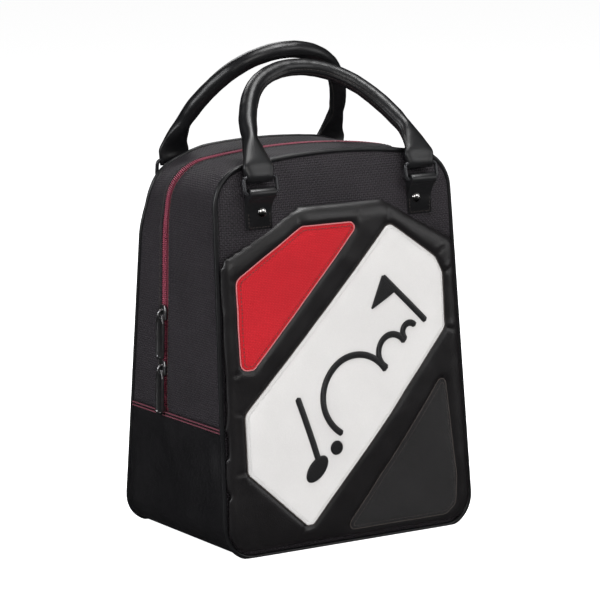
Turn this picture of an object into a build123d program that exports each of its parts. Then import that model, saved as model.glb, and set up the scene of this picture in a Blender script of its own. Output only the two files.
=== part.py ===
"""Golf shoe bag: an upright zipped bag with a smooth base band, a padded front panel and two rolled handles.

Millimetres. X runs across the front, Y towards the back, Z up. The origin is the centre of the base.
"""

import os
from math import atan, atan2, cos, degrees, radians, sin, sqrt

from build123d import *

os.makedirs("parts", exist_ok=True)

# Bag body
base_half_width = 120
top_half_width = 112
shoulder_height = 306
crown_height = 318
base_corner_radius = 25
top_corner_radius = 32
base_half_depth = 80
lean_slope = 1 / 12  # how far the front and the back lean in for each millimetre of height
lean = atan(lean_slope)
side_slope = (base_half_width - top_half_width) / shoulder_height
wall = 3
fold_height = 105  # top of the base band: the zip ends here and the front folds open here

# Cutting solids reach past the bag on every side
reach = 160
low_cut = -20
high_cut = 340
front, rear = -1, 1

# Piping round the front and the back
piping_proud = 1.5
piping_depth = 3

# Crowned panels and the padded cover on the front
crown = 6
crown_inset = 4
crown_taper = 50
pad_thickness = 12
pad_inset = 7
pad_top = 277
pad_shoulder = 236
pad_shoulder_half_width = 112
pad_plateau_half_width = 40
patch_thickness = 1.2
patch_corner = 4
patch_edge_margin = 13

# Embroidered golf motif, laid out along the white band
band_angle = 46
band_centre_height = 138
stroke = 5.5

# Stiffening boards
board_thickness = 2
board_inset = 8
board_base = 8
board_top = 296
board_corner = 6

# Zip: straight up the sides, then bending forward over the top
zip_depth = 20
zip_bend_start = 250
zip_bend_radius = 134
zip_bend_angle = 38
tape_edge = 4
coil_inner = 1
coil_outer = 2
coil_start = 110
tape_top = 1
coil_top = 0.2
tape_bottom = 2.2
stop_top = 4
stop_proud = 0.5

# Welt along the top of the base band
welt_proud = 1.2
welt_height = 2.5

# Zip sliders and pulls on the left side
slider_heights = {"upper": 186, "lower": 140.5}
slider_length = 13
slider_width = 10
slider_plate_gap = 0.3
slider_plate = 2
inner_plate_width = 7
inner_plate_length = 11
inner_plate_top = -2.6
inner_plate_thickness = 1.2
post_width = 1.6
post_length = 4
bail_width = 2.4
bail_length = 4.6
bail_height = 3.2
pin_radius = 1
pin_height = slider_plate_gap + slider_plate + 1.6
pin_below_centre = 2
pull_width = 11
pull_length = 36
pull_thickness = 2
pull_corner = 3.5
pull_window_width = 3.4
pull_window_length = 4.4
plate_corner = 2

# Handle tabs, rings and rivets
tab_half_spacing = 77
tab_width = 24
tab_thickness = 2.5
tab_base = 264
tab_neck = 280
roll_radius = 4.2
ring_height = 291
ring_standoff = 14
ring_rise = 13
ring_half_width = 15
ring_corner = 3
bar_radius = 1.5
bar_clearance = 0.05
rivet_half_spacing = 74
rivet_height = 275
rivet_radius = 4
rivet_head = 1.6
rivet_head_taper = 20
rivet_post_radius = 1.4

# Handles: a three-centred arch in a leaning plane
handle_half_span = tab_half_spacing
handle_rise = 96
handle_side_radius = 115
handle_radius = 7
core_radius = 5
core_gap = 0.2
end_width = 25
end_neck_width = 13
end_thickness = 6.5
handles = {
    "front": {"side": front, "upper_bar": 67, "start_height": 314, "lean": 46},
    "rear": {"side": rear, "upper_bar": 68, "start_height": 318, "lean": 37},
}


def half_depth(height):
    """Distance from the middle of the bag to its front or back at a height."""
    return base_half_depth - lean_slope * height


def half_width(height):
    """Distance from the middle of the bag to its side at a height."""
    return base_half_width - side_slope * height


def panel_plane(side, standoff=0):
    """Plane along the front (side -1) or the back (side 1), facing out, its Y running up the panel."""
    normal = (0, side * cos(lean), sin(lean))
    return Plane(origin=(0, side * base_half_depth, 0), x_dir=(-side, 0, 0), z_dir=normal).offset(standoff)


def panel_depth(height, standoff):
    """Distance from the middle of the bag, at a height, to a surface that stands off the front or back."""
    return half_depth(height) + standoff / cos(lean)


def panel_line(side, inset):
    """Side view of the front or the back as two points, moved towards the middle by inset."""
    return [(side * panel_depth(height, -inset), height) for height in (low_cut, high_cut)]


def outline_face(inset):
    """Outline of the bag seen from the front, moved in from its edge by inset."""
    with BuildSketch() as face:
        with BuildLine():
            sides = Polyline(
                (-top_half_width, shoulder_height),
                (-base_half_width, 0),
                (base_half_width, 0),
                (top_half_width, shoulder_height),
            )
            ThreePointArc(sides @ 1, (0, crown_height), sides @ 0)
        make_face()
        fillet(face.vertices().group_by(Axis.Y)[-1], top_corner_radius)
        fillet(face.vertices().group_by(Axis.Y)[0], base_corner_radius)
        if inset:
            offset(amount=-inset, mode=Mode.REPLACE)
    return face.sketch_local


def outline_on(plane, inset):
    """The bag's outline on an upright plane."""
    with BuildSketch(plane) as face:
        add(outline_face(inset))
    return face.sketch


def pad_on(plane, inset):
    """The padded cover on a plane: the bag's outline below a top edge with slanted shoulders."""
    edge = pad_shoulder_half_width + base_corner_radius
    with BuildSketch(plane) as face:
        with BuildLine():
            Polyline(
                (-edge, low_cut),
                (-edge, pad_shoulder),
                (-pad_shoulder_half_width, pad_shoulder),
                (-pad_plateau_half_width, pad_top),
                (pad_plateau_half_width, pad_top),
                (pad_shoulder_half_width, pad_shoulder),
                (edge, pad_shoulder),
                (edge, low_cut),
                close=True,
            )
        make_face()
        add(outline_face(inset), mode=Mode.INTERSECT)
    return face.sketch


def raise_from(plane, face, amount, taper=0, mode=Mode.ADD):
    """Extrude a face out of its plane."""
    extrude(face, amount=amount, dir=plane.z_dir, taper=taper, mode=mode)


def extrude_wall(outer, inner):
    """Tube that follows the outline of the bag, between two insets."""
    extrude(outline_on(Plane.XZ, outer), amount=reach, both=True)
    extrude(outline_on(Plane.XZ, inner), amount=reach, both=True, mode=Mode.SUBTRACT)


def keep_between(first, second):
    """Keep what lies between two lines of the side view."""
    with BuildSketch(Plane.YZ) as slab:
        with BuildLine():
            Polyline(*first, *reversed(second), close=True)
        make_face()
    extrude(slab.sketch, amount=reach, both=True, mode=Mode.INTERSECT)


def keep_heights(low, high):
    """Keep what lies between two heights."""
    with BuildSketch(Plane.XY.offset(low)) as floor:
        Rectangle(2 * reach, 2 * reach)
    extrude(floor.sketch, amount=high - low, mode=Mode.INTERSECT)


def keep_beside_zip(shift, side):
    """Keep what lies in front of or behind the zip line moved back by shift."""
    with BuildSketch(Plane.YZ) as part_beside:
        with BuildLine():
            straight = Line((zip_depth + shift, low_cut), (zip_depth + shift, zip_bend_start))
            bend_centre = (zip_depth - zip_bend_radius, zip_bend_start)
            bend = CenterArc(bend_centre, zip_bend_radius + shift, 0, zip_bend_angle)
            Polyline(bend @ 1, (side * reach, high_cut), (side * reach, low_cut), straight @ 0)
        make_face()
    extrude(part_beside.sketch, amount=reach, both=True, mode=Mode.INTERSECT)


def save(piece, name):
    """Label a finished piece and write it."""
    piece.part.label = name
    export_step(piece.part, f"parts/{name}.step")


# Base band and base board

with BuildPart() as lower_gusset:
    extrude_wall(0, wall)
    keep_between(panel_line(front, piping_depth / 2), panel_line(rear, piping_depth / 2))
    keep_heights(0, fold_height)
save(lower_gusset, "lower_gusset")

with BuildPart() as base_board:
    board_half_width = base_half_width - base_corner_radius - 1
    board_half_depth = half_depth(wall + board_thickness) - wall - board_thickness - 1
    with BuildSketch(Plane.XY.offset(wall)):
        RectangleRounded(2 * board_half_width, 2 * board_half_depth, board_corner)
    extrude(amount=board_thickness)
save(base_board, "base_board")

for name, keep in (("left", Keep.TOP), ("right", Keep.BOTTOM)):
    with BuildPart() as seam_welt:
        extrude_wall(-welt_proud, 0)
        keep_between(panel_line(front, piping_depth / 2), panel_line(rear, piping_depth / 2))
        keep_heights(fold_height - welt_height, fold_height)
        split(bisect_by=Plane.YZ, keep=keep)
    save(seam_welt, f"seam_welt_{name}")


# Panels, piping, padding and boards: the front is cut in two at the fold

front_levels = {"lower": (0, fold_height), "upper": (fold_height, high_cut)}
front_plane = panel_plane(front)
rear_plane = panel_plane(rear)

for level, heights in front_levels.items():
    with BuildPart() as front_panel:
        extrude(outline_on(Plane.XZ, wall), amount=reach, both=True)
        keep_between(panel_line(front, 0), panel_line(front, wall))
        raise_from(front_plane, outline_on(front_plane, crown_inset), crown, crown_taper)
        raise_from(front_plane, pad_on(front_plane, 0), crown, mode=Mode.SUBTRACT)
        keep_heights(*heights)
    save(front_panel, f"front_panel_{level}")

    with BuildPart() as front_pad:
        raise_from(front_plane, pad_on(front_plane, pad_inset), pad_thickness)
        keep_heights(*heights)
    save(front_pad, f"front_pad_{level}")

    with BuildPart() as front_piping:
        extrude_wall(-piping_proud, wall)
        keep_between(panel_line(front, -piping_depth / 2), panel_line(front, piping_depth / 2))
        keep_heights(*heights)
    save(front_piping, f"front_piping_{level}")

with BuildPart() as rear_panel:
    extrude(outline_on(Plane.XZ, wall), amount=reach, both=True)
    keep_between(panel_line(rear, wall), panel_line(rear, 0))
    raise_from(rear_plane, outline_on(rear_plane, crown_inset), crown, crown_taper)
    keep_heights(0, high_cut)
save(rear_panel, "rear_panel")

with BuildPart() as rear_piping:
    extrude_wall(-piping_proud, wall)
    keep_between(panel_line(rear, piping_depth / 2), panel_line(rear, -piping_depth / 2))
    keep_heights(0, high_cut)
save(rear_piping, "rear_piping")

for name, side, base in (("front", front, fold_height), ("rear", rear, board_base)):
    with BuildPart() as board:
        extrude(outline_on(Plane.XZ, board_inset), amount=reach, both=True)
        keep_between(panel_line(side, wall), panel_line(side, wall + board_thickness))
        keep_heights(base, board_top)
    save(board, f"{name}_board")


# Patches and embroidery on the padded cover

patches = {
    "red_patch": [(-101, 152), (-101, 223), (-40, 261), (14, 261), (-90, 152)],
    "white_patch": [(-100, 69), (-100, 116), (43, 258), (89, 226), (96, 212), (96, 167), (-41, 21), (-47, 21)],
    "charcoal_patch": [(-10, 10), (93, 130), (100, 43), (98, 12)],
}

patch_plane = panel_plane(front, pad_thickness)

for name, corners in patches.items():
    lowest = min(height for x, height in corners)
    for level, heights in front_levels.items():
        if lowest > heights[1]:
            continue
        with BuildPart() as patch:
            with BuildSketch(patch_plane) as shape:
                with BuildLine():
                    Polyline(*corners, close=True)
                make_face()
                fillet(shape.vertices(), patch_corner)
                add(outline_face(patch_edge_margin), mode=Mode.INTERSECT)
            raise_from(patch_plane, shape.sketch, patch_thickness)
            keep_heights(*heights)
        save(patch, f"{name}_{level}")


def band_plane():
    """Plane on the white patch, its X running up along the slanted band."""
    surface = panel_plane(front, pad_thickness + patch_thickness)
    centre = surface.from_local_coords((0, band_centre_height))
    along = surface.x_dir * cos(radians(band_angle)) + surface.y_dir * sin(radians(band_angle))
    return Plane(origin=centre, x_dir=along, z_dir=surface.z_dir)


club_head = (-78, -22)
club_head_size = (13, 7.5)
ball = (-54, -25)
ball_radius = 6
straight_strokes = [
    ((-71, -17), (-46, 31)),  # club shaft
    ((78, -28), (78, 31)),  # flagstick
]
hops = [
    ((-42, -22), (-10, 20), (22, -22)),
    ((25, -22), (38, -3), (51, -22)),
    ((54, -22), (61, -13), (68, -22)),
]
pennant_corners = [(78, 31), (48, 21), (78, 11)]

for level, heights in front_levels.items():
    with BuildPart() as embroidery:
        with BuildSketch(band_plane()) as motif:
            with Locations(club_head):
                Ellipse(*club_head_size)
            with Locations(ball):
                Circle(ball_radius)
            with BuildLine() as pennant:
                Polyline(*pennant_corners, close=True)
            make_face(pennant.line)
            for start, end in straight_strokes:
                with BuildLine() as straight:
                    Line(start, end)
                trace(straight.line, line_width=stroke)
            for start, top, end in hops:
                with BuildLine() as hop:
                    ThreePointArc(start, top, end)
                trace(hop.line, line_width=stroke)
        raise_from(band_plane(), motif.sketch, patch_thickness)
        keep_heights(*heights)
    save(embroidery, f"embroidery_{level}")


# Gussets and zip, in a front and a rear half

zip_halves = {"front": front, "rear": rear}

for name, side in zip_halves.items():
    with BuildPart() as gusset:
        extrude_wall(0, wall)
        keep_beside_zip(side * tape_edge, side)
        keep_between(panel_line(front, piping_depth / 2), panel_line(rear, piping_depth / 2))
        keep_heights(fold_height, high_cut)
    save(gusset, f"{name}_gusset")

    with BuildPart() as zip_tape:
        extrude_wall(tape_top, tape_bottom)
        keep_beside_zip(side * coil_outer, side)
        keep_beside_zip(side * tape_edge, -side)
        keep_heights(fold_height, high_cut)
    save(zip_tape, f"{name}_zip_tape")

    with BuildPart() as zip_coil:
        extrude_wall(coil_top, tape_bottom)
        keep_beside_zip(side * coil_inner, side)
        keep_beside_zip(side * coil_outer, -side)
        keep_heights(coil_start, high_cut)
    save(zip_coil, f"{name}_zip_coil")

with BuildPart() as zip_end_stops:
    extrude_wall(-stop_proud, tape_bottom)
    keep_beside_zip(-coil_outer, rear)
    keep_beside_zip(coil_outer, front)
    keep_heights(fold_height, fold_height + stop_top)
save(zip_end_stops, "zip_end_stops")


# Zip sliders and their pulls


def slider_plane(height):
    """Plane on the left side at the zip: X towards the front, Y up along the zip, Z outwards."""
    side_lean = atan(side_slope)
    origin = (-half_width(height), zip_depth, height)
    return Plane(origin=origin, x_dir=(0, -1, 0), z_dir=(-cos(side_lean), 0, sin(side_lean)))


for level, height in slider_heights.items():
    side_wall = slider_plane(height)
    pin_centre = side_wall.from_local_coords((0, -pin_below_centre, pin_height))
    pin_plane = Plane(origin=pin_centre, x_dir=side_wall.y_dir, z_dir=side_wall.x_dir)

    with BuildPart() as slider:
        with BuildSketch(side_wall.offset(slider_plate_gap)):
            RectangleRounded(slider_width, slider_length, plate_corner)
        extrude(amount=slider_plate)
        with BuildSketch(side_wall.offset(inner_plate_top)):
            RectangleRounded(inner_plate_width, inner_plate_length, plate_corner)
        extrude(amount=-inner_plate_thickness)
        with BuildSketch(side_wall.offset(inner_plate_top)):
            Rectangle(post_width, post_length)
        extrude(amount=slider_plate_gap - inner_plate_top)
        with BuildSketch(side_wall.offset(slider_plate_gap + slider_plate)):
            with Locations((0, -pin_below_centre)):
                Rectangle(bail_width, bail_length)
        extrude(amount=bail_height)
        with BuildSketch(pin_plane):
            Circle(pin_radius + bar_clearance)
        extrude(amount=bail_width, both=True, mode=Mode.SUBTRACT)
    save(slider, f"zip_slider_{level}")

    with BuildPart() as pull:
        with BuildSketch(side_wall.offset(pin_height - pull_thickness / 2)) as plate:
            with Locations((0, -pin_below_centre - pull_length / 2)):
                Rectangle(pull_width, pull_length)
            fillet(plate.vertices().group_by(Axis.Y)[0], pull_corner)
            with Locations((0, -pin_below_centre - pull_window_length / 2)):
                Rectangle(pull_window_width, pull_window_length, mode=Mode.SUBTRACT)
        extrude(amount=pull_thickness)
        with BuildSketch(pin_plane):
            Circle(pin_radius)
        extrude(amount=pull_width / 2, both=True)
    save(pull, f"zip_pull_{level}")


# Handle tabs, rivets and rings


def ring_bars(handle):
    """Centres of a ring's lower and upper bars in the side view."""
    lower = (handle["side"] * (half_depth(ring_height) + ring_standoff), ring_height)
    across = handle["side"] * handle["upper_bar"] - lower[0]
    upper = (handle["side"] * handle["upper_bar"], ring_height + sqrt(ring_rise**2 - across**2))
    return lower, upper


def cut_bore(x, centre, width):
    """Cut the hole for a ring's bar through a roll."""
    with BuildSketch(Plane.YZ.offset(x)) as hole:
        with Locations(centre):
            Circle(bar_radius + bar_clearance)
    extrude(hole.sketch, amount=width, both=True, mode=Mode.SUBTRACT)


sides = {"left": -tab_half_spacing, "right": tab_half_spacing}

for name, handle in handles.items():
    side = handle["side"]
    lower_bar, upper_bar = ring_bars(handle)

    for hand, x in sides.items():
        with BuildPart() as tab:
            with BuildSketch(Plane.YZ.offset(x)):
                with BuildLine():
                    Polyline(
                        (side * panel_depth(tab_base, crown), tab_base),
                        (side * panel_depth(ring_height, crown), ring_height),
                        (lower_bar[0], ring_height + roll_radius),
                        (lower_bar[0], ring_height - roll_radius),
                        (side * panel_depth(tab_neck, crown + tab_thickness), tab_neck),
                        (side * panel_depth(tab_base, crown + tab_thickness), tab_base),
                        close=True,
                    )
                make_face()
                with Locations(lower_bar):
                    Circle(roll_radius)
            extrude(amount=tab_width / 2, both=True)
            cut_bore(x, lower_bar, tab_width)
        save(tab, f"{name}_tab_{hand}")

        rise = (0, upper_bar[0] - lower_bar[0], upper_bar[1] - lower_bar[1])
        ring_plane = Plane(origin=(x, *lower_bar), x_dir=(1, 0, 0), z_dir=(0, -rise[2], rise[1]))
        with BuildPart() as ring:
            with BuildLine(ring_plane) as half_ring:
                FilletPolyline(
                    (0, 0),
                    (ring_half_width, 0),
                    (ring_half_width, ring_rise),
                    (0, ring_rise),
                    radius=ring_corner,
                )
            with BuildSketch(Plane(origin=half_ring.line @ 0, z_dir=half_ring.line % 0)):
                Circle(bar_radius)
            sweep(path=half_ring.line)
            mirror(about=Plane.YZ.offset(x))
        save(ring, f"{name}_ring_{hand}")

    with BuildPart() as rivets:
        for x in (-rivet_half_spacing, rivet_half_spacing):
            with BuildSketch(panel_plane(side, crown + tab_thickness)):
                with Locations((x, rivet_height)):
                    Circle(rivet_radius)
            extrude(amount=rivet_head, taper=rivet_head_taper)
            with BuildSketch(panel_plane(side, -wall)):
                with Locations((x, rivet_height)):
                    Circle(rivet_post_radius)
            extrude(amount=wall + crown + tab_thickness)
    save(rivets, f"{name}_rivets")


# Handles: sleeve, core and flared ends

for name, handle in handles.items():
    side = handle["side"]
    lean_angle = radians(handle["lean"])
    rise = (0, -side * sin(lean_angle), cos(lean_angle))
    start = (side * handle["upper_bar"], handle["start_height"])
    arch_plane = Plane(origin=(0, *start), x_dir=(1, 0, 0), z_dir=(0, -rise[2], rise[1]))
    lower_bar, upper_bar = ring_bars(handle)

    # The side arcs and the top arc share a tangent where their centres line up
    side_centre = handle_side_radius - handle_half_span
    spare = handle_side_radius - handle_rise
    top_centre = (side_centre**2 - spare**2) / (2 * spare)
    turn = degrees(atan2(top_centre, side_centre))

    with BuildLine(arch_plane) as arch:
        CenterArc((side_centre, 0), handle_side_radius, 180, -turn)
        CenterArc((0, top_centre), handle_rise - top_centre, 180 - turn, 2 * turn - 180)
        CenterArc((-side_centre, 0), handle_side_radius, turn, -turn)
    path = arch.wires()[0]

    with BuildPart() as sleeve:
        with BuildSketch(Plane(origin=path @ 0, z_dir=path % 0)):
            Circle(handle_radius)
            Circle(core_radius + core_gap, mode=Mode.SUBTRACT)
        sweep(path=path)
    save(sleeve, f"{name}_handle_sleeve")

    with BuildPart() as core:
        with BuildSketch(Plane(origin=path @ 0, z_dir=path % 0)):
            Circle(core_radius)
        sweep(path=path)
    save(core, f"{name}_handle_core")

    for hand, x in sides.items():
        with BuildPart() as handle_end:
            with BuildSketch(Plane.YZ.offset(x)):
                with Locations(upper_bar):
                    Circle(roll_radius)
            extrude(amount=end_width / 2, both=True)
            with BuildSketch(Plane.XZ.offset(-start[0])):
                with BuildLine():
                    Polyline(
                        (x - end_width / 2, upper_bar[1]),
                        (x + end_width / 2, upper_bar[1]),
                        (x + end_neck_width / 2, start[1]),
                        (x - end_neck_width / 2, start[1]),
                        close=True,
                    )
                make_face()
            extrude(amount=end_thickness / 2, both=True)
            with Locations((x, *start)):
                Sphere(handle_radius)
            split(bisect_by=Plane(origin=(x, *start), z_dir=rise), keep=Keep.BOTTOM)
            cut_bore(x, upper_bar, end_width)
        save(handle_end, f"{name}_handle_end_{hand}")
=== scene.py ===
import math

import bmesh
import bpy
import numpy as np
from mathutils import Matrix, Vector, noise
from mathutils.bvhtree import BVHTree


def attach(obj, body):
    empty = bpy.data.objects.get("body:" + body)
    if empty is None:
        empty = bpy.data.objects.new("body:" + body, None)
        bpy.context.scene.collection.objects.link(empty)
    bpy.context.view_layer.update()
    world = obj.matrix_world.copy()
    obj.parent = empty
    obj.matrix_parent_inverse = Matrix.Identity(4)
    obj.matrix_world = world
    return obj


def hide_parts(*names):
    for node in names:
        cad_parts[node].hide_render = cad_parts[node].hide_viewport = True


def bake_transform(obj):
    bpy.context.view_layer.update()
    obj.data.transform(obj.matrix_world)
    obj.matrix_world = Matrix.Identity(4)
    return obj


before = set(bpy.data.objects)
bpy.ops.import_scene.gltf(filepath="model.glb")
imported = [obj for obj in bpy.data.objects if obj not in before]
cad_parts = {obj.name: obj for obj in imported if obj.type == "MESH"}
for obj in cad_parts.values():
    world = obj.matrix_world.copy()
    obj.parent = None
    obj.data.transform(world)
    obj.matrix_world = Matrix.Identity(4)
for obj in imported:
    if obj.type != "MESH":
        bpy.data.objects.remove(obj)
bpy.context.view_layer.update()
print("frame loaded:", len(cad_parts), "nodes")

toMetres = 0.001
bag = {
    "baseHalf": 120,
    "topHalf": 112,
    "archRise": 12,
    "shoulder": 306,
    "crown": 318,
    "baseCorner": 25,
    "topCorner": 32,
    "baseDepth": 80,
    "lean": 1 / 12,
    "fold": 105,
    "zipDepth": 20,
    "zipBendStart": 250,
    "zipBendRadius": 134,
}


# Shader maths: a wire is a socket that can stand in a sum

class Wire:
    def __init__(self, paint, socket):
        self.paint, self.socket = paint, socket

    def sum(self, operation, first, second):
        return self.paint.node("ShaderNodeMath", {"operation": operation}, {0: first, 1: second})

    def __add__(self, other):
        return self.sum("ADD", self, other)

    def __radd__(self, other):
        return self.sum("ADD", other, self)

    def __sub__(self, other):
        return self.sum("SUBTRACT", self, other)

    def __rsub__(self, other):
        return self.sum("SUBTRACT", other, self)

    def __mul__(self, other):
        return self.sum("MULTIPLY", self, other)

    def __rmul__(self, other):
        return self.sum("MULTIPLY", other, self)

    def __truediv__(self, other):
        return self.sum("DIVIDE", self, other)

    def __mod__(self, other):
        return self.sum("MODULO", self, other)


class Paint:
    def __init__(self, name, constants):
        self.material = bpy.data.materials.new(name)
        self.material.use_nodes = True
        self.tree = self.material.node_tree
        self.shader = self.tree.nodes["Principled BSDF"]
        for socket, value in constants.items():
            self.shader.inputs[socket].default_value = value

    def feed(self, socket, value):
        if isinstance(value, Wire):
            self.tree.links.new(value.socket, socket)
        else:
            socket.default_value = value

    def node(self, kind, settings, inputs, output=0):
        node = self.tree.nodes.new(kind)
        for key, value in settings.items():
            setattr(node, key, value)
        for key, value in inputs.items():
            self.feed(node.inputs[key], value)
        return Wire(self, node.outputs[output])

    def put(self, socket, value):
        self.feed(self.shader.inputs[socket], value)

    def place(self, kind):  # "Object" in metres, "UV" in millimetres
        return self.node("ShaderNodeTexCoord", {}, {}, kind)

    def noise(self, place, scale, detail=3, roughness=0.55):
        inputs = {"Vector": place, "Scale": scale, "Detail": detail, "Roughness": roughness}
        return self.node("ShaderNodeTexNoise", {}, inputs)

    def cells(self, place, scale, feature="F1"):
        inputs = {"Vector": place, "Scale": scale}
        return self.node("ShaderNodeTexVoronoi", {"feature": feature}, inputs)

    def blendColours(self, first, second, share):
        inputs = {0: share, 6: first, 7: second}
        return self.node("ShaderNodeMix", {"data_type": "RGBA"}, inputs, 2)

    def bump(self, height, distance, strength=1):
        inputs = {"Height": height, "Distance": distance, "Strength": strength}
        self.put("Normal", self.node("ShaderNodeBump", {}, inputs))

    def axis(self, place, index):
        return self.node("ShaderNodeSeparateXYZ", {}, {0: place}, index)

    def ridge(self, wire):  # rounded threads, one per unit
        wave = self.node("ShaderNodeMath", {"operation": "SINE"}, {0: wire * math.pi})
        return self.node("ShaderNodeMath", {"operation": "ABSOLUTE"}, {0: wave})

    def floor(self, wire):
        return self.node("ShaderNodeMath", {"operation": "FLOOR"}, {0: wire})


def rgba(colour):
    return (*colour, 1)


def leatherPaint(name, look):
    paint = Paint(name, {"Specular IOR Level": look["gloss"], "Sheen Weight": look.get("sheen", 0)})
    place = paint.place("Object")
    pores = paint.cells(place, look["grain"], "SMOOTH_F1")
    fine = paint.noise(place, look["grain"] * 2.3, 2)
    broad = paint.noise(place, 28, 4)
    creases = paint.noise(place, 130, 5, 0.7)
    height = pores * look["pores"] + fine * 0.25 + creases * look["creases"]
    paint.bump(height, look["depth"])
    share = broad * 0.7 + pores * 0.3
    paint.put("Base Color", paint.blendColours(rgba(look["dark"]), rgba(look["light"]), share))
    paint.put("Roughness", broad * 0.16 + fine * 0.08 + (look["roughness"] - 0.12))
    return paint.material


def weavePaint(name, look):
    constants = {
        "Specular IOR Level": look["gloss"],
        "Sheen Weight": look["sheen"],
        "Sheen Roughness": 0.4,
        "Sheen Tint": rgba(look["sheenTint"]),
    }
    paint = Paint(name, constants)
    place = paint.place("UV")
    wobble = paint.noise(place, 0.35, 2) * 0.35
    across = paint.axis(place, 0) / look["pitch"] + wobble
    up = paint.axis(place, 1) / look["pitch"] + wobble
    warp, weft = paint.ridge(across), paint.ridge(up)
    over = (paint.floor(across) + paint.floor(up) + 4000) % 2  # the even number keeps the count above zero
    warpHeight = warp * (weft * 0.45 + 0.55)
    weftHeight = weft * (warp * 0.45 + 0.55)
    height = over * warpHeight + (1 - over) * weftHeight
    fuzz = paint.noise(place, 3.1, 3)
    broad = paint.noise(place, 0.02, 3)
    paint.bump(height + fuzz * look["fuzz"], look["depth"])
    share = height * 0.62 + over * look["contrast"] + fuzz * 0.25 + (broad - 0.5) * 0.5
    paint.put("Base Color", paint.blendColours(rgba(look["dark"]), rgba(look["light"]), share))
    paint.put("Roughness", look["roughness"] + fuzz * 0.15 - height * 0.1)
    return paint.material


def threadPaint(name, look):
    paint = Paint(name, {"Specular IOR Level": 0.3, "Sheen Weight": 0.03, "Sheen Roughness": 0.35})
    place = paint.place("UV")
    strands = paint.ridge(paint.axis(place, 0) / look["pitch"] + paint.axis(place, 1) * look["slant"])
    fuzz = paint.noise(place, 2.5, 3)
    paint.bump(strands + fuzz * 0.3, look["depth"])
    paint.put("Base Color", paint.blendColours(rgba(look["dark"]), rgba(look["light"]), strands * 0.7 + fuzz * 0.3))
    paint.put("Roughness", look["roughness"] + fuzz * 0.15)
    return paint.material


def hardPaint(name, look):
    paint = Paint(name, {"Specular IOR Level": 0.5})
    place = paint.place("Object")
    wear = paint.noise(place, 420, 5, 0.7)
    scratches = paint.noise(place, 1700, 2)
    paint.put("Metallic", look["metal"])
    paint.put("Base Color", paint.blendColours(rgba(look["dark"]), rgba(look["light"]), wear))
    paint.put("Roughness", look["roughness"] + wear * 0.12 + scratches * 0.05)
    paint.bump(scratches + wear, look["depth"])
    return paint.material


leathers = {  # material name, then dark, light, grain, pores, creases, depth, gloss, roughness
    "band": ("bandLeather", (0.0035, 0.0035, 0.004), (0.009, 0.0085, 0.0095), 900, 0.7, 0.6, 0.00018, 0.45, 0.38),
    "pad": ("padLeather", (0.0035, 0.003, 0.0035), (0.009, 0.008, 0.0085), 1100, 0.6, 0.45, 0.00014, 0.42, 0.36),
    "piping": ("pipingLeather", (0.003, 0.003, 0.0035), (0.008, 0.008, 0.009), 1300, 0.5, 0.4, 0.00008, 0.35, 0.36),
    "handle": ("handleLeather", (0.0035, 0.0035, 0.004), (0.009, 0.009, 0.0098), 1200, 0.5, 0.5, 0.0001, 0.42, 0.33),
    "white": ("whiteLeather", (0.47, 0.46, 0.455), (0.58, 0.57, 0.56), 1000, 0.6, 0.5, 0.0001, 0.45, 0.46),
}
weaves = {  # material name, then dark, light, pitch, contrast, fuzz, depth, gloss, roughness, sheen, sheenTint
    "woven": ("ballisticNylon", (0.002, 0.0016, 0.0022), (0.025, 0.021, 0.0255), 1.9, 0.3, 0.2, 0.0005, 0.25, 0.6,
        0.03, (0.8, 0.72, 0.8)),
    "red": ("redMesh", (0.26, 0.002, 0.006), (0.5, 0.008, 0.016), 1.3, 0.16, 0.2, 0.0002, 0.2, 0.66, 0.02,
        (1, 0.5, 0.5)),
    "charcoal": ("charcoalCloth", (0.006, 0.0056, 0.0058), (0.022, 0.021, 0.0215), 1.1, 0.08, 0.5, 0.00018, 0.2,
        0.75, 0.04, (0.8, 0.8, 0.82)),
    "zipTape": ("zipTapeWeave", (0.05, 0.003, 0.01), (0.16, 0.014, 0.032), 0.7, 0.2, 0.2, 0.0001, 0.35, 0.6, 0.2,
        (1, 0.6, 0.7)),
}
threads = {  # material name, then dark, light, pitch, slant, depth, roughness
    "thread": ("blackSatinThread", (0.002, 0.002, 0.0025), (0.012, 0.0115, 0.0125), 0.55, 0.35, 0.00022, 0.42),
    "stitch": ("stitchThread", (0.018, 0.015, 0.014), (0.06, 0.05, 0.046), 0.5, 0.6, 0.0001, 0.55),
    "welt": ("maroonWelt", (0.05, 0.009, 0.017), (0.17, 0.045, 0.065), 0.9, 0.7, 0.0001, 0.5),
    "paleStitch": ("paleStitch", (0.4, 0.39, 0.385), (0.66, 0.65, 0.64), 0.9, 0.7, 0.0001, 0.55),
    "redEdge": ("redEdge", (0.4, 0.08, 0.09), (0.6, 0.2, 0.21), 0.9, 0.7, 0.0001, 0.5),
}
hardFinishes = {  # material name, then dark, light, metal, roughness, depth
    "coil": ("zipCoil", (0.17, 0.02, 0.04), (0.36, 0.075, 0.12), 0, 0.28, 0.00003),
    "zipMetal": ("blackNickel", (0.28, 0.275, 0.28), (0.46, 0.455, 0.46), 1, 0.24, 0.00002),
    "ringMetal": ("glossBlackPlate", (0.02, 0.02, 0.022), (0.05, 0.05, 0.054), 0.6, 0.16, 0.00002),
    "rivet": ("polishedNickel", (0.5, 0.49, 0.48), (0.68, 0.67, 0.66), 1, 0.14, 0.00002),
    "board": ("lining", (0.02, 0.02, 0.02), (0.035, 0.035, 0.035), 0, 0.7, 0.0001),
}
finishes = (
    (leatherPaint, leathers, "dark light grain pores creases depth gloss roughness"),
    (weavePaint, weaves, "dark light pitch contrast fuzz depth gloss roughness sheen sheenTint"),
    (threadPaint, threads, "dark light pitch slant depth roughness"),
    (hardPaint, hardFinishes, "dark light metal roughness depth"),
)
paints = {}
for makePaint, table, keys in finishes:
    for piece, (name, *values) in table.items():
        paints[piece] = makePaint(name, dict(zip(keys.split(), values)))
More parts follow.
